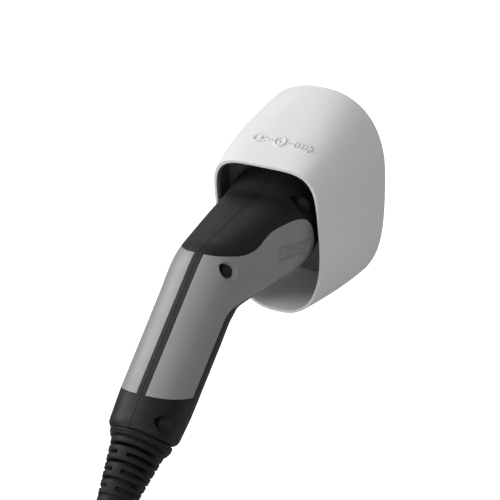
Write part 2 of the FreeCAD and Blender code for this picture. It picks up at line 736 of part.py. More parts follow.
def make_retainer():
    plate = nose_prism(-retainer_inset, -carrier_rear - retainer_thickness, -carrier_rear,
                       carrier_rear_flat + retainer_inset)
    tools = []
    for points, radius in ((power_points, power_contact_radius), (signal_points, signal_contact_radius)):
        tools += [rod(radius + fit, V(p.x, -span, p.z), Y, 2 * span) for p in points]
    hole = shank_radius + shank_clearance
    tools += [rod(hole, V(p.x, -span, p.z), Y, 2 * span) for p in retainer_screw_points]
    return cut_all(plate, tools)


def make_resistor():
    """Coding resistor between the earth barrel and the proximity barrel."""
    end = signal_points[0]
    way = V(end.x, 0, end.z).normalize()
    start = V(0, -carrier_rear - retainer_thickness - 3.5, 0)
    length = math.hypot(end.x, end.z)
    middle = (power_contact_radius + length - signal_contact_radius) / 2
    body = rod(resistor_radius, start + way * (middle - resistor_length / 2), way, resistor_length)
    lead = rod(lead_radius, start + way * (power_contact_radius - 0.3), way,
               length - power_contact_radius - signal_contact_radius + 0.6)
    lead = lead.cut(rod(power_contact_radius, V(0, -span, 0), Y, 2 * span))
    lead = lead.cut(rod(signal_contact_radius, V(end.x, -span, end.z), Y, 2 * span))
    return body.fuse(lead).removeSplitter()


def make_seal():
    ring = nose_prism(carrier_flange - fit, -collar_depth - seal_thickness, -collar_depth)
    return ring.cut(nose_prism(thread_clearance, -span, span))


solids["contact_carrier"] = in_place(make_carrier())
solids["power_contacts"] = in_place(Part.Compound([make_contact(p, power_contact_radius, power_pin_radius)
                                                   for p in power_points]))
solids["signal_contacts"] = in_place(Part.Compound([make_contact(p, signal_contact_radius, signal_pin_radius)
                                                    for p in signal_points]))
solids["contact_retainer"] = in_place(make_retainer())
solids["retainer_screws"] = in_place(Part.Compound([
    pan_screw(V(p.x, -carrier_rear - retainer_thickness, p.z), Y, retainer_screw_length)
    for p in retainer_screw_points]))
solids["coding_resistor"] = in_place(make_resistor())
solids["carrier_seal"] = in_place(make_seal())


# ---------- cable entry ----------
def make_relief():
    taper_start = relief_start + relief_ring + 1.6
    tip = relief_start + relief_length
    ring_start = relief_start - grip_end_slope
    plain_ring = fuse_all([
        grip_rod(relief_radius, ring_start, relief_start + 1.2),
        grip_disc(relief_radius, relief_radius - 1.6, relief_start + 1.2, relief_start + relief_ring),
    ])
    body = fuse_all([
        grip_rod(relief_flange_radius, flange_g, flange_g + relief_flange_thickness),
        grip_rod(relief_neck_radius, flange_g + 1, relief_start + relief_ring),
        plain_ring.common(beyond_end(relief_gap)),
        grip_rod(relief_radius - 4.0, relief_start + relief_ring - 1, taper_start + 1),
        grip_disc(relief_radius - 2.8, cable_bore + relief_tip_wall, taper_start, tip),
    ])
    pitch = (tip - taper_start) / (slot_rows + 1)
    for row in range(slot_rows):
        g0 = taper_start + pitch * (row + 0.55)
        g1 = g0 + slot_width
        ring = grip_rod(relief_radius + 5, g0, g1)
        ring = ring.cut(grip_rod(cable_bore + slot_floor_wall, g0 - 1, g1 + 1))
        if row % 2:
            ring = ring.cut(grip_block(-slot_rib, slot_rib, g0 - 1, g1 + 1, -span, span))
        else:
            ring = ring.cut(grip_block(-span, span, g0 - 1, g1 + 1, axis_n - slot_rib, axis_n + slot_rib))
        body = body.cut(ring)
    body = body.cut(grip_rod(cable_bore, flange_g - 5, tip + 5))
    body = body.cut(grip_rod(grommet_radius + thread_clearance, flange_g - 5, grommet_end))
    centre, radius, mouth = housing_screw_posts[2]
    notch = rod(radius + 0.3, V(-span, centre.y, centre.z), X, 2 * span)
    return body.cut(notch.common(grip_rod(span, flange_g - 5, grip_length - end_wall + 0.5)))


def make_grommet():
    ring = grip_rod(grommet_radius, grommet_end - grommet_length, grommet_end)
    return ring.cut(grip_rod(cable_bore, flange_g - span, grommet_end + span))


def make_clamp():
    bar = grip_block(clamp_face_x + clamp_gap, clamp_outer_x, clamp_g, clamp_g + clamp_length,
                     axis_n - clamp_half_height, axis_n + clamp_half_height)
    bar = bar.cut(grip_rod(cable_bore, clamp_g - 1, clamp_g + clamp_length + 1))
    for start in clamp_screw_points():
        bar = bar.cut(rod(shank_radius + shank_clearance, start, X, span))
    return bar


solids["bend_relief"] = in_place(make_relief())
solids["cable_grommet"] = in_place(make_grommet())
solids["cable_clamp"] = in_place(make_clamp())
solids["clamp_screws"] = in_place(Part.Compound([
    pan_screw(p + X * clamp_outer_x, X * -1, clamp_outer_x + clamp_screw_bite)
    for p in clamp_screw_points()]))

os.makedirs("parts", exist_ok=True)
for name, shape in solids.items():
    print(f"{name:20s} solids {len(shape.Solids)} volume {shape.Volume:9.0f} valid {shape.isValid()}")
    shape.exportStep(f"parts/{name}.step")
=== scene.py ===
import math
import bpy
from mathutils import Matrix, Vector


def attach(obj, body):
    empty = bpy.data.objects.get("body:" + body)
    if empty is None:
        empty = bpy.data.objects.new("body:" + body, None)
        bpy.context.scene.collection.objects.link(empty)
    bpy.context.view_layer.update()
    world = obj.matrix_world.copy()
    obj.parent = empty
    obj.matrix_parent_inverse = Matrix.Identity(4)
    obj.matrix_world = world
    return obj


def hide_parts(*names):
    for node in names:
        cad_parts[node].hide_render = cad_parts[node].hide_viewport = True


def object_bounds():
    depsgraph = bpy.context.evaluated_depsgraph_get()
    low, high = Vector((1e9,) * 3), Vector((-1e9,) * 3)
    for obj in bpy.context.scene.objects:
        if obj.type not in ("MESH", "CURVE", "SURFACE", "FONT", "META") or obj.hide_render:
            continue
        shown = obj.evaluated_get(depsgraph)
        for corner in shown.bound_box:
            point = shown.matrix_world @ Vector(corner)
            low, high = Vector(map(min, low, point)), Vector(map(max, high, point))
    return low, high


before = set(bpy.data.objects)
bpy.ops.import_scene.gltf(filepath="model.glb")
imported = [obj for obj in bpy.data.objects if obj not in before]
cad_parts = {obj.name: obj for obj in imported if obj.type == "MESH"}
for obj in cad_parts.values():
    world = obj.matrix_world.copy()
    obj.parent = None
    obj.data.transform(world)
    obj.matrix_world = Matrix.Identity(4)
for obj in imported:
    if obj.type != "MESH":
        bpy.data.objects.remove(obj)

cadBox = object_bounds()
mm = 0.001

# the plug's own frame, as the parts were designed: the plug axis rises towards the wall,
# the grip drops away from it at the corner behind the head
plug = {
    "rise": math.radians(10),
    "face": Vector((0, -54.2, -0.4)) * mm,
    "headLength": 98 * mm,
    "headTop": 22.8 * mm,
    "gripDrop": math.radians(35),
}
tilt = Matrix.Rotation(plug["rise"], 3, "X")
corner = plug["face"] + tilt @ Vector((0, -plug["headLength"], plug["headTop"]))
gripWay = tilt @ Vector((0, -math.cos(plug["gripDrop"]), -math.sin(plug["gripDrop"])))
gripBack = tilt @ Vector((0, -math.sin(plug["gripDrop"]), math.cos(plug["gripDrop"])))


def onGrip(along, out, side=0.0):
    return corner + gripWay * along * mm + gripBack * out * mm + Vector((side * mm, 0, 0))


def pickNone():
    if bpy.context.object and bpy.context.object.mode != "OBJECT":
        bpy.ops.object.mode_set(mode="OBJECT")
    bpy.ops.object.select_all(action="DESELECT")


def pickOnly(*pieces):
    pickNone()
    for piece in pieces:
        piece.select_set(True)
    bpy.context.view_layer.objects.active = pieces[0]


def editAll(piece):
    pickOnly(piece)
    bpy.ops.object.mode_set(mode="EDIT")
    bpy.ops.mesh.select_all(action="SELECT")


def endEdit():
    bpy.ops.object.mode_set(mode="OBJECT")


def settle(piece):
    pickOnly(piece)
    bpy.ops.object.transform_apply(location=True, rotation=True, scale=True)


def applyModifiers(piece):
    pickOnly(piece)
    for modifier in list(piece.modifiers):
        bpy.ops.object.modifier_apply(modifier=modifier.name)


def joinAs(name, pieces):
    pickOnly(*pieces)
    if len(pieces) > 1:
        bpy.ops.object.join()
    whole = bpy.context.object
    whole.name = name
    whole.data.name = name
    return whole


def cleanNormals(piece):
    editAll(piece)
    bpy.ops.mesh.remove_doubles(threshold=0.000002)
    bpy.ops.mesh.normals_make_consistent(inside=False)
    endEdit()


def softEdges(piece, width, segments=2, angle=30):
    bevel = piece.modifiers.new("softEdges", "BEVEL")
    bevel.width = width
    bevel.segments = segments
    bevel.limit_method = "ANGLE"
    bevel.angle_limit = math.radians(angle)
    applyModifiers(piece)
    pickOnly(piece)
    bpy.ops.object.shade_smooth_by_angle(angle=math.radians(40))


def boolean(piece, tool, operation):
    cut = piece.modifiers.new(operation, "BOOLEAN")
    cut.operation = operation
    cut.object = tool
    cut.solver = "EXACT"
    applyModifiers(piece)
    bpy.data.objects.remove(tool)


def turnInto(piece, origin, xAxis, zAxis):
    # moves a piece built round the world origin to a place, its x and z along two given axes
    z = zAxis.normalized()
    x = (xAxis - z * xAxis.dot(z)).normalized()
    y = z.cross(x)
    turn = Matrix((x, y, z)).transposed().to_4x4()
    piece.matrix_world = Matrix.Translation(origin) @ turn
    settle(piece)


class Look:
    # a material with the nodes that every finish here starts from
    def __init__(self, name):
        self.material = bpy.data.materials.new(name)
        self.material.use_nodes = True
        self.tree = self.material.node_tree
        self.shader = next(n for n in self.tree.nodes if n.type == "BSDF_PRINCIPLED")
        self.place = self.add("ShaderNodeTexCoord").outputs["Object"]

    def add(self, kind, **values):
        node = self.tree.nodes.new(kind)
        for key, value in values.items():
            setattr(node, key, value)
        return node

    def link(self, output, socket):
        self.tree.links.new(output, socket)

    def noise(self, scale, detail=3.0, roughness=0.5, distortion=0.0, place=None):
        node = self.add("ShaderNodeTexNoise")
        node.inputs["Scale"].default_value = scale
        node.inputs["Detail"].default_value = detail
        node.inputs["Roughness"].default_value = roughness
        node.inputs["Distortion"].default_value = distortion
        self.link(place or self.place, node.inputs["Vector"])
        return node.outputs["Fac"]

    def cells(self, scale):
        node = self.add("ShaderNodeTexVoronoi", feature="F1")
        node.inputs["Scale"].default_value = scale
        self.link(self.place, node.inputs["Vector"])
        return node.outputs["Distance"]

    def spread(self, value, low, high, toLow=0.0, toHigh=1.0, smooth=False):
        node = self.add("ShaderNodeMapRange", interpolation_type="SMOOTHSTEP" if smooth else "LINEAR")
        node.inputs["From Min"].default_value = low
        node.inputs["From Max"].default_value = high
        node.inputs["To Min"].default_value = toLow
        node.inputs["To Max"].default_value = toHigh
        self.link(value, node.inputs["Value"])
        return node.outputs["Result"]

    def maths(self, operation, a, b):
        node = self.add("ShaderNodeMath", operation=operation)
        for socket, value in zip(node.inputs, (a, b)):
            if isinstance(value, float):
                socket.default_value = value
            else:
                self.link(value, socket)
        return node.outputs["Value"]

    def along(self, direction, origin):
        # distance in metres from origin along a direction
        move = self.add("ShaderNodeVectorMath", operation="SUBTRACT")
        move.inputs[1].default_value = origin
        self.link(self.place, move.inputs[0])
        dot = self.add("ShaderNodeVectorMath", operation="DOT_PRODUCT")
        dot.inputs[1].default_value = direction
        self.link(move.outputs["Vector"], dot.inputs[0])
        return dot.outputs["Value"]

    def mixColour(self, factor, a, b):
        node = self.add("ShaderNodeMix", data_type="RGBA")
        self.link(factor, node.inputs["Factor"])
        for socket, value in ((node.inputs[6], a), (node.inputs[7], b)):
            if isinstance(value, tuple):
                socket.default_value = (*value, 1)
            else:
                self.link(value, socket)
        return node.outputs[2]

    def bump(self, height, distance, strength=1.0, normal=None):
        node = self.add("ShaderNodeBump")
        node.inputs["Strength"].default_value = strength
        node.inputs["Distance"].default_value = distance
        self.link(height, node.inputs["Height"])
        if normal:
            self.link(normal, node.inputs["Normal"])
        return node.outputs["Normal"]

    def roundedEdges(self, radius):
        node = self.add("ShaderNodeBevel", samples=4)
        node.inputs["Radius"].default_value = radius
        return node.outputs["Normal"]

    def set(self, **values):
        for key, value in values.items():
            socket = self.shader.inputs[key.replace("_", " ")]
            if isinstance(value, (float, int)):
                socket.default_value = value
            elif isinstance(value, tuple):
                socket.default_value = (*value, 1)
            else:
                self.link(value, socket)


def mouldedPlastic(name, finish):
    look = Look(name)
    patches = look.noise(finish["patchScale"], 4, 0.6)
    specks = look.noise(finish["grainScale"] * 0.45, 2, 0.6)
    tone = look.mixColour(look.spread(patches, 0.3, 0.7), finish["colour"], finish["tint"])
    tone = look.mixColour(look.spread(specks, 0.35, 0.75, 0, finish["speckle"]), tone, finish["speckColour"])
    rubbed = look.spread(look.noise(finish["patchScale"] * 2.3, 6, 0.7, 0.4), 0.35, 0.75)
    rough = look.spread(rubbed, 0, 1, finish["rough"][0], finish["rough"][1])
    normal = look.roundedEdges(finish["edge"])
    normal = look.bump(look.noise(finish["patchScale"] * 0.8, 2), finish["sink"], 1, normal)
    normal = look.bump(look.noise(finish["grainScale"], 2, 0.65), finish["grain"], 1, normal)
    look.set(Base_Color=tone, Roughness=rough, IOR=finish["ior"])
    look.tone = tone
    return look, normal


plasticFinishes = {
    "shellWhite": {
        "colour": (0.8, 0.8, 0.795), "tint": (0.765, 0.768, 0.77),
        "speckColour": (0.9, 0.9, 0.9), "speckle": 0.25, "patchScale": 22, "grainScale": 2600,
        "grain": 0.00002, "sink": 0.00006, "rough": (0.4, 0.5), "edge": 0.0004, "ior": 1.5,
    },
    "plateGrey": {
        "colour": (0.16, 0.16, 0.158), "tint": (0.13, 0.13, 0.128),
        "speckColour": (0.22, 0.22, 0.22), "speckle": 0.3, "patchScale": 30, "grainScale": 1800,
        "grain": 0.00004, "sink": 0.00005, "rough": (0.5, 0.62), "edge": 0.0004, "ior": 1.47,
    },
    # the bezel liner's dark grey lines the upper inside of the hood as painted shade, a dark sheet standing
    # for the shade there
    "linerShadeGrey": {
        "colour": (0.085, 0.085, 0.087), "tint": (0.105, 0.105, 0.107),
        "speckColour": (0.14, 0.14, 0.14), "speckle": 0.35, "patchScale": 40, "grainScale": 1500,
        "grain": 0.00005, "sink": 0.00004, "rough": (0.45, 0.6), "edge": 0.0004, "ior": 1.47,
    },
    "cupBlack": {
        "colour": (0.035, 0.035, 0.036), "tint": (0.048, 0.048, 0.049),
        "speckColour": (0.06, 0.06, 0.06), "speckle": 0.35, "patchScale": 40, "grainScale": 1500,
        "grain": 0.00005, "sink": 0.00004, "rough": (0.45, 0.6), "edge": 0.0004, "ior": 1.47,
    },
    "panelGrey": {
        "colour": (0.27, 0.27, 0.27), "tint": (0.25, 0.25, 0.252),
        "speckColour": (0.3, 0.3, 0.3), "speckle": 0.35, "patchScale": 26, "grainScale": 1900,
        "grain": 0.00003, "sink": 0.00004, "rough": (0.38, 0.5), "edge": 0.0005, "ior": 1.5,
    },
    "noseBlack": {
        "colour": (0.022, 0.022, 0.023), "tint": (0.036, 0.035, 0.034),
        "speckColour": (0.09, 0.09, 0.085), "speckle": 0.4, "patchScale": 60, "grainScale": 1300,
        "grain": 0.00006, "sink": 0.00003, "rough": (0.38, 0.55), "edge": 0.0004, "ior": 1.5,
    },
    "handleBlack": {
        "colour": (0.004, 0.004, 0.0042), "tint": (0.007, 0.007, 0.0072),
        "speckColour": (0.02, 0.02, 0.02), "speckle": 0.4, "patchScale": 30, "grainScale": 1600,
        "grain": 0.00006, "sink": 0.00004, "rough": (0.4, 0.54), "edge": 0.0006, "ior": 1.34,
    },
}
# distances in metres behind the grip's back and along the grip, for the finger side's grain and for a lighter
# strip along its edge, a painted rim highlight on the grained rubber
fingerGrain = {"from": -0.0225, "to": -0.0240, "start": 0.022, "cell": 760, "height": 0.00022,
               "rimLitFrom": -0.0330, "rimLitTo": -0.0345, "rimLitStart": 0.026, "rimLitEnd": 0.097,
               "rimHighlightTone": (0.10, 0.10, 0.10), "rimHighlightDark": (0.035, 0.035, 0.035)}


def makePlastics():
    made = {}
    for name, finish in plasticFinishes.items():
        look, normal = mouldedPlastic(name, finish)
        if name == "handleBlack":        # leather-like grain on the finger side of the grip
            out = look.along(gripBack, corner)
            down = look.along(gripWay, corner)
            beyond = look.spread(out, fingerGrain["from"], fingerGrain["to"], smooth=True)
            below = look.spread(down, fingerGrain["start"], fingerGrain["start"] + 0.004, smooth=True)
            inside = look.maths("MULTIPLY", beyond, below)
            pebbles = look.spread(look.cells(fingerGrain["cell"]), 0.0, 0.7, 1, 0, smooth=True)
            normal = look.bump(look.maths("MULTIPLY", pebbles, inside), fingerGrain["height"], 1, normal)
            # a lighter grey grained strip near the finger side's edge: painted rim highlight where light from
            # the right would catch the rubber
            rimLitBeyond = look.spread(out, fingerGrain["rimLitFrom"], fingerGrain["rimLitTo"])
            rimLitBelow = look.spread(down, fingerGrain["rimLitStart"], fingerGrain["rimLitStart"] + 0.003)
            rimLitAbove = look.spread(down, fingerGrain["rimLitEnd"], fingerGrain["rimLitEnd"] - 0.003)
            rimHighlightMask = look.maths("MULTIPLY", look.maths("MULTIPLY", rimLitBeyond, rimLitBelow), rimLitAbove)
            rimHighlightTone = look.mixColour(pebbles, fingerGrain["rimHighlightDark"], fingerGrain["rimHighlightTone"])
            look.set(Base_Color=look.mixColour(rimHighlightMask, look.tone, rimHighlightTone))
        look.set(Normal=normal)
        made[name] = look.material
    return made


def makeRubber(name, colour, dusty):
    look = Look(name)
    dust = look.spread(look.noise(55, 6, 0.7, 0.5), 0.45, 0.8)
    tone = look.mixColour(dust, colour, dusty)
    normal = look.bump(look.noise(900, 3, 0.7), 0.00006, 1, look.roundedEdges(0.0004))
    look.set(Base_Color=tone, Roughness=look.spread(dust, 0, 1, 0.5, 0.75), IOR=1.35, Normal=normal)
    return look.material


def makeMetal(name, colour, tint, rough, brushed):
    look = Look(name)
    stretch = look.add("ShaderNodeMapping")
    stretch.inputs["Scale"].default_value = brushed
    look.link(look.place, stretch.inputs["Vector"])
    streaks = look.noise(700, 3, 0.6, 0, stretch.outputs["Vector"])
    spots = look.spread(look.noise(350, 5, 0.7), 0.45, 0.75)
    tone = look.mixColour(spots, colour, tint)
    normal = look.bump(streaks, 0.00001, 1, look.roundedEdges(0.00025))
    look.set(Base_Color=tone, Metallic=1.0, Roughness=look.spread(streaks, 0.3, 0.7, *rough), Normal=normal)
    return look.material


def makeResistorPaint():
    look = Look("resistorPaint")
    across = look.along(Vector((0.65, 0.13, 0.75)), Vector((0.0045, -0.079, 0.0015)))
    bands = look.spread(look.maths("SINE", look.maths("MULTIPLY", across, 4200.0), 0.0), 0.75, 0.9)
    tone = look.mixColour(bands, (0.25, 0.42, 0.55), (0.25, 0.05, 0.02))
    tone = look.mixColour(look.spread(look.noise(800), 0.4, 0.7, 0, 0.3), tone, (0.5, 0.6, 0.65))
    look.set(Base_Color=tone, Roughness=look.spread(look.noise(500), 0.3, 0.7, 0.2, 0.4), Coat_Weight=0.4,
             Normal=look.bump(look.noise(1200), 0.00003))
    return look.material


materials = makePlastics()
materials["softRubber"] = makeRubber("softRubber", (0.012, 0.012, 0.012), (0.035, 0.034, 0.033))
materials["reliefRubber"] = makeRubber("reliefRubber", (0.006, 0.006, 0.006), (0.014, 0.014, 0.0137))
materials["screwSteel"] = makeMetal("screwSteel", (0.55, 0.55, 0.56), (0.42, 0.42, 0.43), (0.25, 0.4),
                                    (1, 6, 1))
materials["contactSilver"] = makeMetal("contactSilver", (0.80, 0.78, 0.73), (0.66, 0.61, 0.52), (0.18, 0.34),
                                       (1, 0.1, 1))
materials["resistorPaint"] = makeResistorPaint()
nodeLooks = {
    "holster_shell": "shellWhite", "wall_plate": "plateGrey", "socket_cup": "cupBlack",
    "cup_ring": "softRubber", "bezel_liner": "linerShadeGrey", "cup_screws": "screwSteel",
    "shell_screws": "screwSteel", "handle_shell_right": "handleBlack",
    "handle_shell_left": "handleBlack", "grip_panel_right": "panelGrey", "grip_panel_left": "panelGrey",
    "housing_screws": "screwSteel", "contact_carrier": "noseBlack", "power_contacts": "contactSilver",
    "signal_contacts": "contactSilver", "contact_retainer": "noseBlack",
    "retainer_screws": "screwSteel", "coding_resistor": "resistorPaint", "carrier_seal": "softRubber",
    "bend_relief": "reliefRubber", "cable_grommet": "softRubber", "cable_clamp": "noseBlack",
    "clamp_screws": "screwSteel",
}
for node, look in nodeLooks.items():
    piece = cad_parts[node]
    piece.data.materials.clear()
    piece.data.materials.append(materials[look])
print("materials done")


def ringStack(name, rings, sides, closed=False):
    # a turned shape: rings of (height, radius) from the first to the last, joined into a skin
    pickNone()
    height, radius = rings[0]
    bpy.ops.mesh.primitive_circle_add(vertices=sides, radius=radius * mm, location=(0, 0, height * mm))
    piece = bpy.context.object
    piece.name = name
    settle(piece)
    editAll(piece)
    for nextHeight, nextRadius in rings[1:]:
        bpy.ops.mesh.extrude_region_move(TRANSFORM_OT_translate={"value": (0, 0, (nextHeight - height) * mm)})
        grow = nextRadius / radius
        bpy.ops.transform.resize(value=(grow, grow, 1), center_override=(0, 0, 0))
        height, radius = nextHeight, nextRadius
    if closed:
        endEdit()
        editOpenEdges(piece)
        bpy.ops.mesh.bridge_edge_loops()
    endEdit()
    cleanNormals(piece)
    return piece


def editOpenEdges(piece):
    pickOnly(piece)
    bpy.ops.object.mode_set(mode="EDIT")
    bpy.ops.mesh.select_mode(type="EDGE")
    bpy.ops.mesh.select_all(action="DESELECT")
    bpy.ops.mesh.select_non_manifold(extend=False, use_boundary=True, use_wire=False,
                                     use_multi_face=False, use_non_contiguous=False, use_verts=False)


def fillOpenEnds(piece):
    editOpenEdges(piece)
    bpy.ops.mesh.fill_holes(sides=0)
    endEdit()


def editFaces(piece, wanted):
    # opens the piece with the faces selected whose centre and normal are wanted
    pickOnly(piece)
    for thing in (*piece.data.vertices, *piece.data.edges):
        thing.select = False
    for face in piece.data.polygons:
        face.select = wanted(face.center / mm, face.normal)
    bpy.ops.object.mode_set(mode="EDIT")
    bpy.ops.mesh.select_mode(type="FACE")


relief = {
    # along the grip in mm, from the corner behind the head
    "start": 123.8, "length": 50, "ring": 4.6, "radius": 20.5, "tipRadius": 11, "bore": 8.2,
    "neck": 12.5, "flangeFrom": 113.5, "flange": 3, "flangeRadius": 16.1, "pocket": 11.05, "pocketEnd": 119,
    "middle": 21.5, "endSlope": 6, "endDepth": 43, "rows": 7, "slot": 2.5, "slotFloor": 10.4, "rib": 3.2,
    "lead": 1.6, "coneStep": 2.8, "throat": 1.2, "ringRound": 1.6, "sides": 120,
    # the ring's lower edge on its way out: how far down, how far in
    "ringEdge": [(2.6, 0.5), (1.2, 0)],
}


def slotPlaces():
    first = relief["start"] + relief["ring"] + relief["lead"]
    tip = relief["start"] + relief["length"]
    pitch = (tip - first) / (relief["rows"] + 1)
    return first, tip, [first + pitch * (row + 0.55) for row in range(relief["rows"])]


def makeBendRelief():
    first, tip, slots = slotPlaces()
    coneTop = relief["radius"] - relief["coneStep"]
    throat = coneTop - relief["throat"]

    def coneAt(along):
        return coneTop + (relief["tipRadius"] - coneTop) * (along - first) / (tip - first)

    rings = [(tip, relief["bore"]), (tip, relief["tipRadius"])]
    for along in reversed(slots):
        rings += [(along + relief["slot"], coneAt(along + relief["slot"])), (along, coneAt(along))]
    ringEnd = relief["start"] + relief["ring"]
    rings += [(first, coneTop), (first, throat), (ringEnd, throat),
              (ringEnd, relief["radius"] - relief["ringRound"])]
    rings += [(relief["start"] + down, relief["radius"] - inward) for down, inward in relief["ringEdge"]]
    rings += [(relief["start"] - relief["endSlope"], relief["radius"]),
              (relief["start"] - relief["endSlope"], relief["neck"]),
              (relief["flangeFrom"] + relief["flange"], relief["neck"]),
              (relief["flangeFrom"] + relief["flange"], relief["flangeRadius"]),
              (relief["flangeFrom"], relief["flangeRadius"]), (relief["flangeFrom"], relief["pocket"]),
              (relief["pocketEnd"], relief["pocket"]), (relief["pocketEnd"], relief["bore"])]
    piece = ringStack("bendRelief", rings, relief["sides"], closed=True)
    for row, along in enumerate(slots):
        middle = along + relief["slot"] / 2

        def inSlot(centre, normal):
            away = centre.x if row % 2 else centre.y
            return (abs(centre.z - middle) < 0.1 and abs(away) > relief["rib"]
                    and math.hypot(centre.x, centre.y) > relief["slotFloor"] * 0.98)

        editFaces(piece, inSlot)
        deep = relief["slotFloor"] / coneAt(middle)
        bpy.ops.mesh.extrude_region_move()
        bpy.ops.transform.resize(value=(deep, deep, 1), center_override=(0, 0, middle * mm))
        endEdit()
    return piece


def seatRelief(piece):
    # the ring's upper face follows the sloping end of the grip
    upper = relief["start"] - relief["endSlope"]
    editFaces(piece, lambda centre, normal: normal.z < -0.9 and abs(centre.z - upper) < 0.1)
    bpy.ops.mesh.select_mode(type="VERT")
    endEdit()
    slope = relief["endSlope"] / relief["endDepth"]
    for vertex in piece.data.vertices:
        if vertex.select:
            vertex.co.z = (relief["start"] + slope * vertex.co.y / mm) * mm
    softEdges(piece, 0.00035, 2, 35)
    turnInto(piece, onGrip(0, -relief["middle"]), Vector((1, 0, 0)), gripWay)


screwHead = {"radius": 2.6, "height": 2.4, "drive": 1.35, "driveDepth": 1.3, "lobe": 0.78, "shank": 1.5,
             "core": 1.15, "pitch": 1.1, "dome": 0.5, "point": 0.4}


def makeScrew(name, length):
    # head on top, shank down the -z axis, head's underside at z = 0
    height, radius, dome = screwHead["height"], screwHead["radius"], screwHead["dome"]
    rings = [(height, screwHead["point"]), (height - 0.05, radius - dome), (height - dome, radius),
             (0, radius), (0, screwHead["shank"])]
    turns = int(length / screwHead["pitch"]) - 1
    for turn in range(turns):
        top = -screwHead["pitch"] * (turn + 0.5)
        rings += [(top, screwHead["core"]), (top - screwHead["pitch"] * 0.5, screwHead["shank"])]
    rings += [(-length + 0.5, screwHead["core"]), (-length, screwHead["point"])]
    piece = ringStack(name, rings, 48)
    fillOpenEnds(piece)
    cleanNormals(piece)
    pickNone()
    bpy.ops.mesh.primitive_circle_add(vertices=36, radius=screwHead["drive"] * mm, fill_type="NGON",
                                      location=(0, 0, (height - screwHead["driveDepth"]) * mm))
    tool = bpy.context.object
    settle(tool)
    bpy.ops.object.mode_set(mode="EDIT")
    bpy.ops.mesh.select_mode(type="VERT")
    bpy.ops.mesh.select_all(action="DESELECT")
    endEdit()
    for vertex in tool.data.vertices:        # six lobes
        angle = math.degrees(math.atan2(vertex.co.y, vertex.co.x)) % 60
        vertex.select = 15 < angle < 45
    bpy.ops.object.mode_set(mode="EDIT")
    bpy.ops.transform.resize(value=(screwHead["lobe"], screwHead["lobe"], 1), center_override=(0, 0, 0))
    bpy.ops.mesh.select_all(action="SELECT")
    bpy.ops.mesh.extrude_region_move(TRANSFORM_OT_translate={"value": (0, 0, 0.003)})
    endEdit()
    cleanNormals(tool)
    boolean(piece, tool, "DIFFERENCE")
    softEdges(piece, 0.00012, 2, 40)
    return piece


def looseBoxes(node):
    # lowest and highest corner of each separate solid in a CAD node
    pickNone()
    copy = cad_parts[node].copy()
    copy.data = copy.data.copy()
    copy.parent = None
    copy.animation_data_clear()
    copy.hide_set(False)
    bpy.context.collection.objects.link(copy)
    cleanNormals(copy)
    editAll(copy)
    bpy.ops.mesh.separate(type="LOOSE")
    endEdit()
    boxes = []
    for part in list(bpy.context.selected_objects):
        places = [vertex.co for vertex in part.data.vertices]
        boxes.append([Vector([pick(p[k] for p in places) for k in range(3)]) for pick in (min, max)])
        bpy.data.objects.remove(part)
    return boxes


def makeScrews(name, node, axis, headEnd, body):
    # headEnd is 1 where the heads look along the positive axis
    copies = []
    tall = screwHead["height"] * mm
    for index, (low, high) in enumerate(looseBoxes(node)):
        seat = (low + high) / 2
        seat[axis] = high[axis] - tall if headEnd > 0 else low[axis] + tall
        outward = Vector([headEnd if k == axis else 0 for k in range(3)])
        screw = makeScrew(f"{name}{index}", (high[axis] - low[axis] - tall) / mm)
        turnInto(screw, seat, Vector((0.3, 0.5, 0.8)), outward)
        copies.append(screw)
    piece = joinAs(name, copies)
    finishPiece(piece, "screwSteel", body)
    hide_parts(node)


emblem = {
    "centre": Vector((0.0015, -0.0566, 0.062)), "normal": Vector((0, -0.41, 0.91)), "proud": 0.00085,
    "edge": 0.00018, "dot": 0.65, "dotPitch": 2.2, "dotsAt": 7.6, "wall": 0.95, "ring": 4.3, "bolt": 6.0,
    # each bar in mm: width, height, x, y, corner radius
    "plug": (6.2, 6.6, -16.8, 0, 1.8),
    "pins": [(3.0, 1.1, -12.5, 1.7, 0.35), (3.0, 1.1, -12.5, -1.7, 0.35), (3.0, 1.1, -21.2, 0, 0.35)],
    "battery": (11.4, 6.6, 16.3, 0, 1.3), "batteryCap": (1.2, 3.0, 22.8, 0, 0.35),
    "charge": (1.7, 3.4, 0.35), "chargeFrom": 13.3, "chargePitch": 2.9, "charges": 3,
}


def flatBar(width, height, x, y, rounding):
    pickNone()
    bpy.ops.mesh.primitive_plane_add(size=1)
    bar = bpy.context.object
    editAll(bar)
    bpy.ops.transform.resize(value=(width * mm, height * mm, 1))
    bpy.ops.mesh.bevel(offset=rounding * mm, segments=4, affect="VERTICES")
    endEdit()
    bar.location = (x * mm, y * mm, 0)
    settle(bar)
    return bar


def flatDisc(radius, x, y):
    pickNone()
    bpy.ops.mesh.primitive_circle_add(vertices=28, radius=radius * mm, fill_type="NGON",
                                      location=(x * mm, y * mm, 0))
    disc = bpy.context.object
    settle(disc)
    return disc


def openInside(piece, wall):
    # leaves only a frame along the outline
    editAll(piece)
    bpy.ops.mesh.inset(thickness=wall * mm)
    bpy.ops.mesh.delete(type="FACE")
    endEdit()
    return piece


def flatOutline(corners):
    # a circle's corners, each moved to its place on the outline
    pickNone()
    bpy.ops.mesh.primitive_circle_add(vertices=len(corners), radius=1 * mm, fill_type="NGON")
    shape = bpy.context.object
    for index, place in enumerate(corners):
        for vertex in shape.data.vertices:
            vertex.select = vertex.index == index
        now = shape.data.vertices[index].co.copy()
        bpy.ops.object.mode_set(mode="EDIT")
        bpy.ops.mesh.select_mode(type="VERT")
        bpy.ops.transform.translate(value=Vector((place[0] * mm, place[1] * mm, 0)) - now)
        endEdit()
    return shape


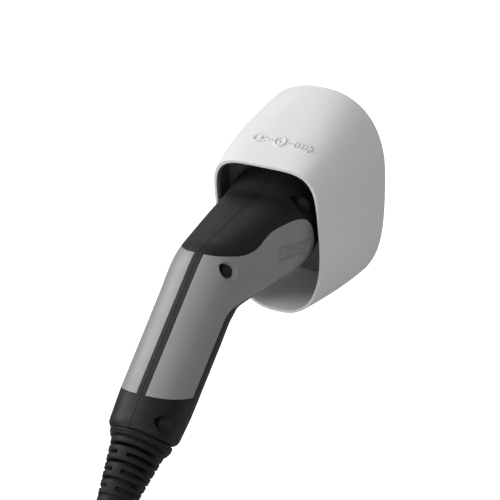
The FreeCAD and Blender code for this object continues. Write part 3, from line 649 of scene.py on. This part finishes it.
def bolt(x, size):
    corners = [(0.32, 0.5), (-0.34, -0.08), (-0.04, -0.08), (-0.30, -0.5), (0.36, 0.10), (0.05, 0.10)]
    shape = flatOutline([(a * size, b * size) for a, b in corners])
    shape.location = (x * mm, 0, 0)
    settle(shape)
    return shape


def dotPair(x):
    return [flatDisc(emblem["dot"], x + emblem["dotPitch"] * (k - 0.5), 0) for k in range(2)]


def makeEmblemShapes():
    wall = emblem["wall"]
    width, height, rounding = emblem["charge"]
    shapes = [openInside(flatDisc(emblem["ring"], 0, 0), wall), bolt(0, emblem["bolt"])]
    shapes += [openInside(flatBar(*emblem["plug"]), wall)] + [flatBar(*pin) for pin in emblem["pins"]]
    shapes += [openInside(flatBar(*emblem["battery"]), wall), flatBar(*emblem["batteryCap"])]
    for k in range(emblem["charges"]):
        shapes.append(flatBar(width, height, emblem["chargeFrom"] + emblem["chargePitch"] * k, 0, rounding))
    for side in (-1, 1):
        shapes += dotPair(side * emblem["dotsAt"])
    return shapes


def layOn(name, shapes, centre, xAxis, normal, node, axis, proud, edge):
    # lays flat shapes on a CAD surface and gives them thickness
    piece = joinAs(name, shapes)
    editAll(piece)
    bpy.ops.mesh.quads_convert_to_tris()
    bpy.ops.mesh.subdivide(number_cuts=2)
    endEdit()
    turnInto(piece, centre, xAxis, normal)
    wrap = piece.modifiers.new("wrap", "SHRINKWRAP")
    wrap.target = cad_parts[node]
    wrap.wrap_method = "PROJECT"
    wrap.use_project_x = axis == 0
    wrap.use_project_z = axis == 2
    wrap.use_negative_direction = True
    wrap.use_positive_direction = False
    applyModifiers(piece)
    editAll(piece)
    bpy.ops.mesh.normals_make_consistent(inside=False)
    bpy.ops.mesh.dissolve_limited(angle_limit=math.radians(0.4))
    endEdit()
    thick = piece.modifiers.new("thick", "SOLIDIFY")
    thick.thickness = proud * 2
    thick.offset = 0
    applyModifiers(piece)
    cleanNormals(piece)
    softEdges(piece, edge, 2, 40)
    return piece


def makeEmblem():
    piece = layOn("hoodEmblem", makeEmblemShapes(), emblem["centre"], Vector((1, 0, 0)), emblem["normal"],
                  "holster_shell", 2, emblem["proud"], emblem["edge"])
    finishPiece(piece, "shellWhite", "holster")


badge = {
    "centre": Vector((0.045, -0.0879, -0.0131)), "along": Vector((0.02, 0.97, -0.13)),
    "normal": Vector((1, 0, 0)), "wall": 0.55, "proud": 0.00055, "edge": 0.0001,
    # each bar in mm: width, height, x, y, corner radius
    "frame": (34.5, 8.6, 0, 0, 0.9), "bolt": 5.4, "boltAt": -13.2,
    "strokes": 5, "stroke": (1.6, 5.0, 0.45), "strokeFrom": -8.4, "strokePitch": 2.7, "strokeLess": 0.5,
    "lines": [(10.5, 1.1, 9.6, 1.5, 0.4), (7.5, 1.1, 8.1, -1.5, 0.4)],
}


def makeBadge():
    width, height, rounding = badge["stroke"]
    shapes = [openInside(flatBar(*badge["frame"]), badge["wall"]), bolt(badge["boltAt"], badge["bolt"])]
    for k in range(badge["strokes"]):
        place = badge["strokeFrom"] + badge["strokePitch"] * k
        shapes.append(flatBar(width, height - badge["strokeLess"] * k, place, 0, rounding))
    shapes += [flatBar(*line) for line in badge["lines"]]
    piece = layOn("panelBadge", shapes, badge["centre"], badge["along"], badge["normal"],
                  "grip_panel_right", 0, badge["proud"], badge["edge"])
    finishPiece(piece, "panelGrey", "connector")


def finishPiece(piece, look, body):
    piece.data.materials.clear()
    piece.data.materials.append(materials[look])
    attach(piece, body)


def makeRelief():
    piece = makeBendRelief()
    seatRelief(piece)
    finishPiece(piece, "reliefRubber", "connector")
    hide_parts("bend_relief")


makeScrews("housingScrews", "housing_screws", 0, 1, "connector")
makeScrews("shellScrews", "shell_screws", 2, -1, "holster")
print("screws done")
makeEmblem()
print("hood emblem done")
makeBadge()
print("panel badge done")
makeRelief()
print("bend relief done")


room = {"floorDrop": 0.06, "floorSize": 40, "floorGlow": 0.7, "daylight": 0.34}
camera = {"lookAt": Vector((0.0021, -0.0965, -0.0159)), "azimuth": 30.25, "elevation": 21.83,
          "distance": 2.0, "lens": 223.2}
lights = {
    # name: (azimuth, elevation, distance, size, watts)
    "keyLeft": (-72, 36, 1.6, 1.1, 17),
    "frontSoft": (-8, 24, 2.2, 1.4, 6),
    "lowRight": (26, 8, 1.8, 0.7, 3.5),
    "bowlFill": (-32, -4, 1.5, 0.5, 4.5),        # reaches the hollow under the plug
    "topRight": (60, 50, 2.0, 1.2, 1.5),
    "backSoft": (-143, 37, 1.8, 1.2, 2.2),
}


def direction(azimuth, elevation):
    a, e = math.radians(azimuth), math.radians(elevation)
    return Vector((math.sin(a) * math.cos(e), -math.cos(a) * math.cos(e), math.sin(e)))


def aimAt(thing, target):
    thing.rotation_euler = (target - thing.location).to_track_quat("-Z", "Y").to_euler()


def makeFloor():
    pickNone()
    height = cadBox[0][2] - room["floorDrop"]
    bpy.ops.mesh.primitive_plane_add(size=room["floorSize"], location=(0, 0, height))
    floor = bpy.context.object
    floor.name = "studioFloor"
    look = Look("studioFloor")
    tone = look.mixColour(look.noise(3, 2), (0.93, 0.93, 0.93), (0.95, 0.95, 0.95))
    look.set(Base_Color=tone, Roughness=0.9, Emission_Color=(1.0, 1.0, 1.0),
             Emission_Strength=room["floorGlow"])
    floor.data.materials.append(look.material)
    floor.visible_diffuse = False        # keeps the bright floor from lighting the object from below
    floor.visible_glossy = False


def makeLights():
    centre = camera["lookAt"]
    for name, (azimuth, elevation, distance, size, watts) in lights.items():
        light = bpy.data.objects.new(name, bpy.data.lights.new(name, "AREA"))
        light.data.shape = "DISK"
        light.data.size = size
        light.data.energy = watts
        light.location = centre + direction(azimuth, elevation) * distance
        bpy.context.collection.objects.link(light)
        aimAt(light, centre)
    world = bpy.data.worlds.new("studio")
    world.use_nodes = True
    background = next(n for n in world.node_tree.nodes if n.type == "BACKGROUND")
    background.inputs["Color"].default_value = (1, 1, 1, 1)
    background.inputs["Strength"].default_value = room["daylight"]
    bpy.context.scene.world = world


def makeCamera():
    view = bpy.data.objects.new("camera", bpy.data.cameras.new("camera"))
    view.data.lens = camera["lens"]
    view.data.sensor_width = 36
    view.data.clip_start = 0.05
    view.data.clip_end = 60
    view.location = camera["lookAt"] + direction(camera["azimuth"], camera["elevation"]) * camera["distance"]
    bpy.context.collection.objects.link(view)
    aimAt(view, camera["lookAt"])
    bpy.context.scene.camera = view
    bpy.context.scene.view_settings.view_transform = "Standard"


makeFloor()
makeLights()
makeCamera()
print("room, lights and camera done")
